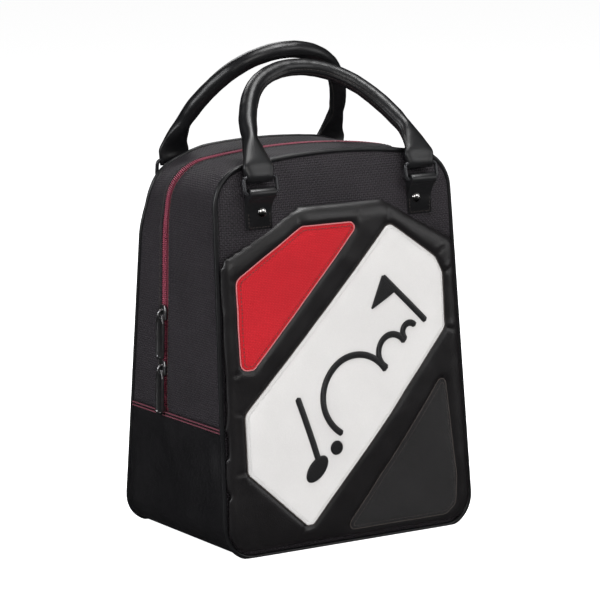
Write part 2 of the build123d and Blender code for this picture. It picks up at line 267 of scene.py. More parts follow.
print("materials ready")


# Outlines and surfaces

class Loop:  # a closed outline, clockwise as seen from the front, measured by its length
    def __init__(self, points):
        self.closed = np.vstack([points, points[:1]])
        steps = np.linalg.norm(np.diff(self.closed, axis=0), axis=1)
        self.lengths = np.concatenate([[0], np.cumsum(steps)])
        self.total = self.lengths[-1]

    def at(self, length):
        length = length % self.total
        return Vector([np.interp(length, self.lengths, self.closed[:, k]) for k in (0, 1)])

    def outward(self, length):
        ahead = (self.at(length + 0.6) - self.at(length - 0.6)).normalized()
        return Vector((-ahead.y, ahead.x))

    def distance(self, x, z):
        start, step = self.closed[:-1], np.diff(self.closed, axis=0)
        spot = np.array([x, z])
        share = ((spot - start) * step).sum(1) / np.maximum((step * step).sum(1), 1e-9)
        near = start + step * np.clip(share, 0, 1)[:, None]
        return float(np.sqrt(((near - spot) ** 2).sum(1).min()))

    def middle(self):
        return Vector(self.closed[:-1].mean(0))


def roundLoop(corners, radii, steps=8):
    points = []
    for index, (corner, radius) in enumerate(zip(corners, radii)):
        corner = Vector(corner)
        if radius == 0:
            points.append(corner)
            continue
        arriving = (corner - Vector(corners[index - 1])).normalized()
        leaving = (Vector(corners[(index + 1) % len(corners)]) - corner).normalized()
        turn = arriving.angle(leaving)
        reach = radius * math.tan(turn / 2)
        for step in range(steps + 1):
            t = step / steps
            first, second, third = (1 - t) ** 2, 2 * math.cos(turn / 2) * t * (1 - t), t * t
            total = (corner - arriving * reach) * first + corner * second + (corner + leaving * reach) * third
            points.append(total / (first + second + third))
    return Loop([tuple(point) for point in points])


def bagOutline():
    archRadius = (bag["topHalf"] ** 2 + bag["archRise"] ** 2) / (2 * bag["archRise"])
    arch = [(x, bag["crown"] - archRadius + math.sqrt(archRadius ** 2 - x * x)) for x in range(-84, 85, 12)]
    base, top, shoulder = bag["baseHalf"], bag["topHalf"], bag["shoulder"]
    corners = [(0, 0), (-base, 0), (-top, shoulder), *arch, (top, shoulder), (base, 0)]
    flat = [0] * len(arch)
    return roundLoop(corners, [0, bag["baseCorner"], bag["topCorner"], *flat, bag["topCorner"], bag["baseCorner"]])


outline = bagOutline()


def lengthAtHeight(height):  # along the outline from the middle of the base, up the left side
    low, high = 130, 350
    while high - low > 0.01:
        middle = (low + high) / 2
        low, high = (middle, high) if outline.at(middle).y < height else (low, middle)
    return low


foldLength = lengthAtHeight(bag["fold"])


def halfDepth(z):
    return bag["baseDepth"] - z * bag["lean"]


def zipLine(z):
    if z < bag["zipBendStart"]:
        return bag["zipDepth"]
    radius = bag["zipBendRadius"]
    return math.sqrt(radius ** 2 - (z - bag["zipBendStart"]) ** 2) + bag["zipDepth"] - radius


def onFront(x, z, lift):
    return Vector((x, -halfDepth(z) - lift, z))


def onBack(x, z, lift):
    return sagged(Vector((x, halfDepth(z) + lift, z)))


sag = {"amount": 8, "full": 12, "end": 62, "frontEdge": 8, "backEdge": 50}


def sagged(spot):  # the unfilled top corners at the back give way a little
    toCorner = math.dist((abs(spot.x), spot.z), (bag["topHalf"], bag["shoulder"]))
    share = (1 - ease(toCorner, sag["full"], sag["end"])) * ease(spot.y, sag["frontEdge"], sag["backEdge"])
    inward = Vector((-math.copysign(0.8, spot.x), 0, -0.6))
    return spot + inward * share * sag["amount"]


def ease(value, low, high):
    share = min(max((value - low) / (high - low), 0), 1)
    return share * share * (3 - 2 * share)


def ripple(x, y, size, seed):
    return noise.noise(Vector((x / size, y / size, seed)))


def uneven(x, y, waves):  # each wave is a size, a seed and a height
    return sum(ripple(x, y, size, seed) * height for size, seed, height in waves)


def roundedRim(inset, radius):  # how far a rounded rim has risen at a distance in from its edge
    share = 1 - min(inset / radius, 1)
    return math.sqrt(max(1 - share * share, 0))


def pathOf(points):
    steps = [0]
    for before, after in zip(points, points[1:]):
        steps.append(steps[-1] + math.dist(before, after))

    def at(length):
        return Vector([np.interp(length, steps, [point[k] for point in points]) for k in (0, 1)])

    return steps[-1], at


def onSkin(length, y, lift):
    spot = outline.at(length) + outline.outward(length) * lift
    return sagged(Vector((spot.x, y, spot.y)))


slack = {"hold": 20, "waves": [(70, 3, 3.2), (24, 8, 0.9)], "sink": 0.3, "hem": 0.9, "hemWidth": (5.5, 10)}


def skinLift(length, y):
    z = outline.at(length).y
    toEdge = halfDepth(z) - abs(y)
    toZip = abs(y - zipLine(z))
    hold = ease(min(toEdge, toZip), 0, slack["hold"])
    hem = slack["hem"] * (1 - ease(toZip, *slack["hemWidth"])) if z > bag["fold"] + 4 else 0
    return hold * (uneven(length, y, slack["waves"]) - slack["sink"]) + hem


# Mesh makers

def gridForm(name, columns, rows, place):
    bm = bmesh.new()
    bmesh.ops.create_grid(bm, x_segments=columns, y_segments=rows, size=0.5)
    uvLayer = bm.loops.layers.uv.new("UVMap")
    placed = {}
    for vert in bm.verts:
        placed[vert] = place(vert.co.x + 0.5, vert.co.y + 0.5)
    for face in bm.faces:
        face.smooth = True
        for corner in face.loops:
            corner[uvLayer].uv = placed[corner.vert][1]
    for vert, (spot, uv) in placed.items():
        vert.co = spot * toMetres
    bmesh.ops.remove_doubles(bm, verts=bm.verts, dist=0.00002)
    return makeObject(name, bm)


def makeObject(name, bm):
    mesh = bpy.data.meshes.new(name)
    bm.to_mesh(mesh)
    bm.free()
    piece = bpy.data.objects.new(name, mesh)
    bpy.context.scene.collection.objects.link(piece)
    return piece


def reshaped(piece, change):
    bm = bmesh.new()
    bm.from_mesh(piece.data)
    bmesh.ops.recalc_face_normals(bm, faces=bm.faces)
    change(bm)
    bm.to_mesh(piece.data)
    bm.free()


def outwards(piece):
    reshaped(piece, lambda bm: None)


def facing(piece, direction):  # an open sheet's faces turned to the side that shows
    def turn(bm):
        total = sum(face.normal.dot(direction(face.calc_center_median())) * face.calc_area() for face in bm.faces)
        if total < 0:
            bmesh.ops.reverse_faces(bm, faces=bm.faces)
    reshaped(piece, turn)


def treeOf(piece):
    bm = bmesh.new()
    bm.from_mesh(piece.data)
    return BVHTree.FromBMesh(bm)


def heightOn(tree, x, z, fallback):  # how far a surface stands off the bag's front
    hit = tree.ray_cast(Vector((x, -halfDepth(z) - 60, z)) * toMetres, Vector((0, 1, 0)))[0]
    return -hit.y / toMetres - halfDepth(z) if hit else fallback


def applied(piece):
    graph = bpy.context.evaluated_depsgraph_get()
    graph.update()
    mesh = bpy.data.meshes.new_from_object(piece.evaluated_get(graph))
    piece.modifiers.clear()
    piece.data = mesh
    return piece


def thicken(piece, thickness, bevel=0):
    wall = piece.modifiers.new("wall", "SOLIDIFY")
    wall.thickness, wall.offset, wall.use_even_offset = thickness * toMetres, -1, True
    if bevel:
        edge = piece.modifiers.new("edge", "BEVEL")
        edge.width, edge.segments, edge.limit_method = bevel * toMetres, 2, "ANGLE"
    return applied(piece)


def dress(piece, paint, slotName, nodes=(), body=None):
    piece.data.materials.clear()
    piece.data.materials.append(paints[paint])
    for polygon in piece.data.polygons:
        polygon.use_smooth = True
    if nodes:
        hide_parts(*nodes)
    if body == "fold":
        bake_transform(piece)
    else:
        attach(piece, body)
    return piece


def unitBead(segments, rings):
    bm = bmesh.new()
    bmesh.ops.create_uvsphere(bm, u_segments=segments, v_segments=rings, radius=1)
    bmesh.ops.recalc_face_normals(bm, faces=bm.faces)
    corners = np.array([[*vert.co, 1] for vert in bm.verts])
    faces = [[vert.index for vert in face.verts] for face in bm.faces]
    bm.free()
    return corners, faces


def beads(name, places, segments, rings):  # many small rounded pieces in one mesh
    corners, faces = unitBead(segments, rings)
    spots, joined = [], []
    for count, place in enumerate(places):
        spots.append(corners @ np.array(place).T[:, :3])
        joined += [[index + count * len(corners) for index in face] for face in faces]
    mesh = bpy.data.meshes.new(name)
    mesh.from_pydata(np.vstack(spots).tolist(), [], joined)
    mesh.uv_layers.new(name="UVMap")
    piece = bpy.data.objects.new(name, mesh)
    bpy.context.scene.collection.objects.link(piece)
    return piece


def stitchRow(name, rows, size, paint, slotName, body):
    places = []
    turned = Matrix.Rotation(math.pi / 2, 4, "Y")
    for points, normals in rows:
        for index in range(0, len(points) - 1):
            ahead = points[index + 1] - points[index]
            along, up = ahead.normalized(), normals[index].normalized()
            side = up.cross(along).normalized()
            place = Matrix((along, side, side.cross(along) * -1)).transposed().to_4x4()
            place.translation = (points[index] + ahead * 0.5) * toMetres
            scale = Matrix.Diagonal((size[0] * toMetres / 2, size[1] * toMetres, size[1] * toMetres, 1))
            places.append(place @ scale @ turned)
    return dress(beads(name, places, 6, 4), paint, slotName, body=body)


def alongLoop(loop, pitch, inset, place):
    lengths = [index * pitch for index in range(int(loop.total / pitch) + 1)]
    spots = [loop.at(length) - loop.outward(length) * inset for length in lengths]
    return [place(spot.x, spot.y) for spot in spots]


def starSheet(name, loop, edgeInset, columnStep, rings, place):
    centre = loop.middle()

    def spot(u, v):
        length = u * loop.total
        rim = loop.at(length) - loop.outward(length) * edgeInset
        point = rim.lerp(centre, v ** 1.25)
        return place(point.x, point.y), (point.x, point.y)

    return gridForm(name, int(loop.total / columnStep), rings, spot)


# Base band, gusset halves and their hems

band = {
    "bulge": 1.6, "edge": 16, "waves": [(55, 21, 3), (19, 5, 0.8)], "flatBelow": (1, 28),
    "wall": 2.4, "columnStep": 3.2, "rows": 44,
}


def bandSkin(u, v):
    length = foldLength * (2 * u - 1)
    z = outline.at(length).y
    y = halfDepth(z) * (2 * v - 1)
    edge = ease(min(halfDepth(z) - abs(y), bag["fold"] - z), 0, band["edge"])
    lift = edge * (band["bulge"] + uneven(length, y, band["waves"]))
    return onSkin(length, y, lift * ease(z, *band["flatBelow"])), (length, y)


def outOfBag(centre):
    return Vector((centre.x, centre.y * 0.2, centre.z - 0.15))


baseBand = gridForm("baseBand", int(2 * foldLength / band["columnStep"]), band["rows"], bandSkin)
facing(baseBand, outOfBag)
thicken(baseBand, band["wall"])
dress(baseBand, "band", "band_leather", ["lower_gusset"], "main_shell")

gusset = {"wall": 2, "columnStep": 3, "rows": 26, "edge": 4.6, "turn": 1.4, "turnWidth": 1.2}
gussetSpan = outline.total - 2 * foldLength


def gussetSkin(side):
    def spot(u, v):
        length = foldLength + gussetSpan * u
        z = outline.at(length).y
        hem = zipLine(z) + side * gusset["edge"]
        y = hem + (side * halfDepth(z) - hem) * v
        turned = -gusset["turn"] * (1 - ease(abs(y - hem), 0, gusset["turnWidth"]))
        return onSkin(length, y, skinLift(length, y) + turned), (length, y)
    return spot


gussetHalves = (("rearGusset", 1, ["rear_gusset"], "main_shell"), ("frontGusset", -1, ["front_gusset"], "fold"))
for name, side, nodes, body in gussetHalves:
    piece = gridForm(name, int(gussetSpan / gusset["columnStep"]), gusset["rows"], gussetSkin(side))
    facing(piece, outOfBag)
    thicken(piece, gusset["wall"])
    dress(piece, "woven", "woven_fabric", nodes, body)
print("band and gussets")

# Zip: tapes, coil and the stitches beside it

zipLook = {
    "tapeInner": 1, "tapeOuter": 8, "tapeDepth": -0.3, "tapeWall": 0.6,
    "tooth": 1.55, "toothAway": 1.5, "toothReach": 1.85, "toothHalf": 0.52, "toothRise": 0.8, "endGap": 5,
    "stitchPitch": 3.4, "stitchAway": 7.2, "stitch": (2.7, 0.36),
}


def zipTape(side):
    def spot(u, v):
        length = foldLength + gussetSpan * u
        z = outline.at(length).y
        away = zipLook["tapeInner"] + (zipLook["tapeOuter"] - zipLook["tapeInner"]) * v
        return onSkin(length, zipLine(z) + side * away, zipLook["tapeDepth"] - 0.12 * away), (length, away)
    return spot


def zipTeeth(name, side, slotName, nodes, body):
    places = []
    count = int((gussetSpan - 2 * zipLook["endGap"]) / zipLook["tooth"])
    for index in range(count):
        length = foldLength + zipLook["endGap"] + (index + (0.5 if side > 0 else 0)) * zipLook["tooth"]
        spot = onSkin(length, zipLine(outline.at(length).y) + side * zipLook["toothAway"], 0.25)
        here, there = (onSkin(l, zipLine(outline.at(l).y), 0) for l in (length, length + 1))
        ahead = (there - here).normalized()
        across = Vector((0, 1, 0)) - ahead * ahead.y
        across.normalize()
        place = Matrix((across, ahead, across.cross(ahead))).transposed().to_4x4()
        place.translation = spot * toMetres
        half = Vector((zipLook["toothReach"], zipLook["toothHalf"], zipLook["toothRise"])) * toMetres
        scale = Matrix.Diagonal((*half, 1))
        places.append(place @ scale)
    return dress(beads(name, places, 8, 5), "coil", slotName, nodes, body)


for name, side, body in (("rear", 1, "main_shell"), ("front", -1, "fold")):
    tape = gridForm(f"{name}ZipTape", int(gussetSpan / 3), 4, zipTape(side))
    facing(tape, outOfBag)
    thicken(tape, zipLook["tapeWall"])
    dress(tape, "zipTape", "zip_tape", [f"{name}_zip_tape"], body)
    zipTeeth(f"{name}ZipCoil", side, "zip_coil", [f"{name}_zip_coil"], body)
    points, normals = [], []
    for index in range(int((gussetSpan - 4) / zipLook["stitchPitch"])):
        length = foldLength + 3 + index * zipLook["stitchPitch"]
        y = zipLine(outline.at(length).y) + side * zipLook["stitchAway"]
        points.append(onSkin(length, y, skinLift(length, y) + 0.1))
        outward = outline.outward(length)
        normals.append(Vector((outward.x, 0, outward.y)))
    stitchRow(f"{name}ZipStitches", [(points, normals)], zipLook["stitch"], "stitch", "thread", body)
print("zip")

# Panels with their crown, and the piping round them

panel = {
    "crown": 8.5, "crownReach": 16, "backCrown": 6.5, "backReach": 14,
    "backWaves": [(80, 31, 2.2), (30, 14, 0.6)], "frontWaves": [(60, 12, 1.2), (26, 4, 0.4)], "waveEdge": 25,
    "flatBehindCover": (222, 258), "wall": 2, "edgeInset": 0.8, "columnStep": 4, "rings": 34,
}


def backLift(x, z):
    inset = outline.distance(x, z)
    soft = uneven(x, z, panel["backWaves"]) * ease(inset, 0, panel["waveEdge"])
    return panel["backCrown"] * (1 - math.exp(-inset / panel["backReach"])) + soft


def frontLift(x, z):  # crowned above the cover, flat behind it
    inset = outline.distance(x, z)
    crown = panel["crown"] * (1 - math.exp(-inset / panel["crownReach"]))
    soft = uneven(x, z, panel["frontWaves"]) * ease(inset, 0, panel["waveEdge"])
    return (crown + soft) * ease(z, *panel["flatBehindCover"])


frontPanel = starSheet("frontPanel", outline, panel["edgeInset"], panel["columnStep"], panel["rings"],
                       lambda x, z: onFront(x, z, frontLift(x, z)))
facing(frontPanel, lambda centre: Vector((0, -1, 0)))
thicken(frontPanel, panel["wall"])
dress(frontPanel, "woven", "woven_fabric", ["front_panel_upper", "front_panel_lower"], "fold")

rearPanel = starSheet("rearPanel", outline, panel["edgeInset"], panel["columnStep"], panel["rings"],
                      lambda x, z: onBack(x, z, backLift(x, z)))
facing(rearPanel, lambda centre: Vector((0, 1, 0)))
thicken(rearPanel, panel["wall"])
dress(rearPanel, "woven", "woven_fabric", ["rear_panel"], "main_shell")

piping = {"radius": 2.1, "inset": 0.5, "sides": 14, "step": 2.5}


def pipingTube(place):
    def spot(u, v):
        length, angle = u * outline.total, v * math.tau
        swell = piping["radius"] * (1 + 0.05 * ripple(length, 0, 9, 2))
        rim = outline.at(length) - outline.outward(length) * (piping["inset"] - math.cos(angle) * swell)
        return place(rim.x, max(rim.y, 0.05), math.sin(angle) * swell), (length, v * 12)
    return spot


for name, place, nodes, body in (("frontPiping", onFront, ["front_piping_upper", "front_piping_lower"], "fold"),
                                 ("rearPiping", onBack, ["rear_piping"], "main_shell")):
    tube = gridForm(name, int(outline.total / piping["step"]), piping["sides"], pipingTube(place))
    outwards(tube)
    dress(tube, "piping", "piping", nodes, body)
print("panels and piping")

# Padded cover: a closed form swelled as cloth, held down along its edge and its seams

pad = {
    "voxel": 0.004, "pressure": 5, "frames": 20, "cap": 4.5,
    "rise": 8.5, "crown": 5.5, "crownHalf": 114, "edgeRound": 15, "back": 0.6,
    "heldBelow": (2.2, 5), "heldNearSeam": (1.5, 4.5), "topFrom": 3.5, "waves": [(22, 40, 0.5), (9, 44, 0.12)],
    "groove": 1.9, "grooveWidth": 2.2, "fill": 0.7,
    "pucker": {"ridge": 0.75, "ridgeWidth": 1.6, "dip": 0.5, "dipAway": 3.4, "dipWidth": 2, "rim": (5, 11)},
    "puckers": [
        ((-101, 150), (-114, 147)), ((-101, 117), (-114, 120)), ((-101, 71), (-116, 69)), ((-46, 22), (-58, 10)),
        ((97, 212), (110, 216)), ((97, 166), (111, 163)), ((-101, 222), (-110, 226)), ((43, 259), (46, 271)),
        ((-40, 262), (-44, 272)), ((90, 227), (101, 234)), ((14, 262), (16, 273)),
    ],
}
padLoop = roundLoop([(0, 2.6), (-118.8, 2.6), (-112.8, 239), (-42, 278), (42, 278), (112.8, 239), (118.8, 2.6)],
                    [0, 22, 5, 16, 16, 5, 22])
patchLoops = {
    "white": roundLoop([(-100, 69), (-100, 116), (43, 258), (89, 226), (96, 212), (96, 167), (-41, 21), (-47, 21)],
                       [5, 7, 7, 9, 7, 6, 4, 4], 5),
    "red": roundLoop([(-101, 152), (-101, 223), (-40, 261), (14, 261), (-90, 152)], [5, 8, 8, 4, 4], 5),
    "charcoal": roundLoop([(-10, 12), (93, 130), (101, 43), (99, 20), (90, 12)], [4, 4, 8, 6, 8], 5),
}


def seamDistance(x, z):
    return min(loop.distance(x, z) for loop in patchLoops.values())


def padBase(x, z):  # the cover lies on the crowned panel
    across = max(1 - (x / pad["crownHalf"]) ** 2, 0) ** 1.5
    return pad["crown"] * across * ease(z, 10, 110)


def puckers(x, z):  # short folds that pull from a patch's corners to the edge of the cover
    look, total = pad["pucker"], 0
    for start, end in pad["puckers"]:
        along = Vector(end) - Vector(start)
        share = (Vector((x, z)) - Vector(start)).dot(along) / along.length_squared
        off = (Vector((x, z)) - Vector(start)).dot(Vector((-along.y, along.x)).normalized())
        fade = ease(share, -0.1, 0.25) * (1 - ease(share, 0.75, 1.1))
        ridge = math.exp(-(off / look["ridgeWidth"]) ** 2) * look["ridge"]
        dip = math.exp(-((off - look["dipAway"]) / look["dipWidth"]) ** 2) * look["dip"]
        total += fade * (ridge - dip)
    return total * ease(padLoop.distance(x, z), *look["rim"]) if abs(total) > 0.01 else 0


def padForm(u, v):
    side = 1 if v > 0.5 else -1
    toRim = 1 - abs(2 * v - 1)
    length = u * padLoop.total
    point = padLoop.at(length).lerp(padLoop.middle(), (1 - toRim) ** 1.4)
    inset = padLoop.distance(point.x, point.y)
    swell = pad["rise"] * roundedRim(inset, pad["edgeRound"]) if side > 0 else 0
    return onFront(point.x, point.y, pad["back"] + padBase(point.x, point.y) + swell), (point.x, point.y)


frontPad = gridForm("frontPad", 240, 60, padForm)
outwards(frontPad)
remesh = frontPad.modifiers.new("even", "REMESH")
remesh.mode, remesh.voxel_size = "VOXEL", pad["voxel"]
applied(frontPad)
rest = np.array([vert.co for vert in frontPad.data.vertices])
held = frontPad.vertex_groups.new(name="held")
for vert in frontPad.data.vertices:
    x, y, z = vert.co / toMetres
    lift = -y - halfDepth(z)
    low = 1 - ease(lift - padBase(x, z), *pad["heldBelow"])
    seam = 1 - ease(seamDistance(x, z), *pad["heldNearSeam"])
    held.add([vert.index], max(low, seam), "REPLACE")
cloth = frontPad.modifiers.new("swell", "CLOTH")
cloth.settings.use_pressure, cloth.settings.uniform_pressure_force = True, pad["pressure"]
cloth.settings.effector_weights.gravity = 0
cloth.settings.vertex_group_mass = "held"
for step in range(1, pad["frames"] + 1):
    bpy.context.scene.frame_set(step)
applied(frontPad)
bpy.context.scene.frame_set(1)
for vert, start in zip(frontPad.data.vertices, rest):
    move = vert.co - Vector(start)
    if move.length > pad["cap"] * toMetres:
        vert.co = Vector(start) + move.normalized() * pad["cap"] * toMetres
smoother = frontPad.modifiers.new("smooth", "SUBSURF")
smoother.levels = smoother.render_levels = 1
applied(frontPad)
for vert in frontPad.data.vertices:
    x, y, z = vert.co / toMetres
    if -y - halfDepth(z) - padBase(x, z) > pad["topFrom"]:
        depth = pad["groove"] * math.exp(-(seamDistance(x, z) / pad["grooveWidth"]) ** 2)
        soft = uneven(x, z, pad["waves"]) - puckers(x, z)
        vert.co.y += (depth - soft) * toMetres
dress(frontPad, "pad", "pad_leather", ["front_pad_upper", "front_pad_lower"], "fold")
padTree = treeOf(frontPad)
print("padded cover:", len(frontPad.data.vertices), "points")


def padHeight(x, z):
    return heightOn(padTree, x, z, pad["back"] + pad["rise"])


# Patches sewn on the cover

patch = {
    "rise": 1.5, "riseReach": 4.5, "tuck": 0.1, "wall": 1.2, "columnStep": 2.4, "rings": 26,
    "stitchPitch": 3.1, "stitchInset": 2.6, "stitch": (2.4, 0.3), "edgeRadius": (0.55, 0.6), "edgeOut": 0.35,
}


def patchLift(loop, x, z):
    inset = loop.distance(x, z)
    around = [padHeight(x + dx, z + dz) for dx, dz in ((0, 0), (2.5, 0), (-2.5, 0), (0, 2.5), (0, -2.5))]
    return sum(around) / len(around) + patch["tuck"] + patch["rise"] * (1 - math.exp(-inset / patch["riseReach"]))


patchNodes = {
    "white": ("white_leather", ["white_patch_upper", "white_patch_lower"]),
    "red": ("red_fabric", ["red_patch_upper"]),
    "charcoal": ("charcoal_fabric", ["charcoal_patch_upper", "charcoal_patch_lower"]),
}
patchTrees = {}
for name, (slotName, nodes) in patchNodes.items():
    loop = patchLoops[name]
    piece = starSheet(f"{name}Patch", loop, 0, patch["columnStep"], patch["rings"],
                      lambda x, z, loop=loop: onFront(x, z, patchLift(loop, x, z)))
    facing(piece, lambda centre: Vector((0, -1, 0)))
    patchTrees[name] = treeOf(piece)
    thicken(piece, patch["wall"])
    dress(piece, name, slotName, nodes, "fold")


def patchHeight(name, x, z):
    return heightOn(patchTrees[name], x, z, padHeight(x, z))


for name, loop in patchLoops.items():
    spots = alongLoop(loop, patch["stitchPitch"], patch["stitchInset"],
                      lambda x, z: onFront(x, z, patchHeight(name, x, z) + 0.12))
    normals = [Vector((0, -1, 0))] * len(spots)
    paint = "paleStitch" if name == "white" else "stitch"
    stitchRow(f"{name}PatchStitches", [(spots, normals)], patch["stitch"], paint, "thread", "fold")


def edgingTube(loop):
    def spot(u, v):
        length, angle = u * loop.total, v * math.tau
        out = patch["edgeOut"] + math.cos(angle) * patch["edgeRadius"][0]
        rim = loop.at(length) + loop.outward(length) * out
        lift = padHeight(rim.x, rim.y) + patch["edgeOut"] + math.sin(angle) * patch["edgeRadius"][1]
        return onFront(rim.x, rim.y, lift), (length, v * 4)
    return spot


for name, paint in (("red", "redEdge"), ("white", "stitch"), ("charcoal", "stitch")):
    loop = patchLoops[name]
    edging = gridForm(f"{name}PatchEdging", int(loop.total / 1.8), 8, edgingTube(loop))
    outwards(edging)
    dress(edging, paint, "thread", (), "fold")
print("patches")

# Golf motif in satin stitch along the white band

motif = {
    "width": 5.5, "height": 1.5, "angle": 46, "centre": (0, 138), "step": 1.4, "sides": 10,
    "endRound": 2.2, "leastEnd": 0.02, "wall": 0.8,
}
alongBand = Vector((math.cos(math.radians(motif["angle"])), math.sin(math.radians(motif["angle"]))))
acrossBand = Vector((-alongBand.y, alongBand.x))


def onBand(u, w):
    return Vector(motif["centre"]) + alongBand * u + acrossBand * w


def arcThrough(first, second, third, count):
    a, b, c = Vector(first), Vector(second), Vector(third)
    cross = (b - a).x * (c - a).y - (b - a).y * (c - a).x
    ab, ac = (b - a), (c - a)
    centre = a + Vector((ac.y * ab.dot(ab) - ab.y * ac.dot(ac), ab.x * ac.dot(ac) - ac.x * ab.dot(ab))) / (2 * cross)
    angles = [math.atan2((p - centre).y, (p - centre).x) for p in (a, b, c)]
    turn = (angles[2] - angles[0]) % math.tau
    if not (angles[1] - angles[0]) % math.tau < turn:
        turn -= math.tau
    radius = (a - centre).length
    return [centre + Vector((math.cos(angles[0] + turn * k / count), math.sin(angles[0] + turn * k / count))) * radius
            for k in range(count + 1)]


def oval(x, y, halfLength, halfHeight, count):
    turns = [k * math.tau / count for k in range(count)]
    return [(x + halfLength * math.cos(turn), y + halfHeight * math.sin(turn)) for turn in turns]


strokes = {
    "clubShaft": [(-73.5, -21), (-46, 31)],
    "flight": arcThrough((-42, -22), (-10, 20), (22, -22), 60),
    "secondHop": arcThrough((25, -22), (38, -3), (51, -22), 30),
    "thirdHop": arcThrough((54, -22), (61, -13), (68, -22), 20),
    "flagstick": [(78, -28), (78, 31)],
}
filledShapes = {
    "clubHead": oval(-78, -22, 13, 7.5, 48),
    "golfBall": oval(-54, -25, 6, 6, 32),
    "pennant": [(79, 32), (78, 12), (49, 22)],
}


def endRound(length):
    return max(roundedRim(length, motif["endRound"]), motif["leastEnd"])


def strokeForm(points):
    total, at = pathOf(points)

    def spot(u, v):
        length = u * total
        ahead = at(min(length + 0.5, total)) - at(max(length - 0.5, 0))
        side = Vector((-ahead.y, ahead.x)).normalized()
        end, angle = endRound(min(length, total - length)), v * math.tau
        away = math.cos(angle) * motif["width"] / 2 * end
        point = at(length) + side * away
        flat = onBand(point.x, point.y)
        thick = math.sin(angle) * motif["height"] * end
        return onFront(flat.x, flat.y, patchHeight("white", flat.x, flat.y) + thick), (length, away)

    return max(int(total / motif["step"]), 6), spot


for index, (name, points) in enumerate(strokes.items()):
    count, spot = strokeForm(points)
    piece = gridForm(f"{name}Embroidery", count, motif["sides"], spot)
    outwards(piece)
    dress(piece, "thread", "thread", ["embroidery_upper", "embroidery_lower"] if index == 0 else (), "fold")
for name, points in filledShapes.items():
    corners = [tuple(onBand(*point)) for point in reversed(points)]
    loop = roundLoop(corners, [1 if len(points) == 3 else 0] * len(points))

    def dome(x, z):
        lift = motif["height"] * endRound(loop.distance(x, z)) * 1.1
        return onFront(x, z, patchHeight("white", x, z) + lift - 0.15)

    piece = starSheet(f"{name}Embroidery", loop, 0, 1, 10, dome)
    facing(piece, lambda centre: Vector((0, -1, 0)))
    thicken(piece, motif["wall"])
    dress(piece, "thread", "thread", (), "fold")
print("embroidery")

# Welts along the top of the base band

welt = {"radius": 0.62, "rows": (bag["fold"] - 0.4, bag["fold"] - 3)}


def weltTube(sign, height):
    length = lengthAtHeight(height)

    def spot(u, v):
        y = (halfDepth(height) - 1) * (2 * u - 1)
        angle = v * math.tau
        lift = 0.6 + math.cos(angle) * welt["radius"]
        up = math.sin(angle) * welt["radius"]
        return onSkin(sign * (length + up), y, lift), (y, v * 5)
    return spot


for hand, sign in (("left", 1), ("right", -1)):
    for index, height in enumerate(welt["rows"]):
        piece = gridForm(f"{hand}Welt{index}", 60, 10, weltTube(sign, height))
        outwards(piece)
        dress(piece, "welt", "welt", [f"seam_welt_{hand}"] if index == 0 else (), "main_shell")
print("welts")

# Handles: rolled leather, flattening into the straps that wrap the rings

handleLook = {
    "half": 77, "rise": 96, "sideRadius": 115, "arcSteps": 40,
    "radius": 7, "strapHalf": 12.6, "strapThin": 2.9, "neck": 40, "roll": 4.2, "ridge": 0.9, "blend": 7,
    "pinch": 1.1, "flare": 1.6, "seamTurn": 0.3, "stitchPitch": 3.2, "stitch": (2.4, 0.3),
}
handles = {
    "front": {"side": -1, "bar": 67, "barHeight": 303.706, "start": 314, "lean": 46},
    "rear": {"side": 1, "bar": 68, "barHeight": 303.882, "start": 318, "lean": 37},
}


def archPoints(drop):
    half, sideRadius, steps = handleLook["half"], handleLook["sideRadius"], handleLook["arcSteps"]
    sideCentre, spare = sideRadius - half, sideRadius - handleLook["rise"]
    topCentre = (sideCentre ** 2 - spare ** 2) / (2 * spare)
    topRadius, turn = handleLook["rise"] - topCentre, math.atan2(topCentre, sideCentre)
    left = [(-half, -drop - handleLook["roll"]), (-half, -drop / 2)]
    for k in range(steps + 1):
        angle = turn * k / steps
        left.append((sideCentre - sideRadius * math.cos(angle), sideRadius * math.sin(angle)))
    for k in range(1, steps + 1):
        angle = turn + (math.pi / 2 - turn) * k / steps
        left.append((-topRadius * math.cos(angle), topCentre + topRadius * math.sin(angle)))
    return left + [(-x, v) for x, v in reversed(left[:-1])]


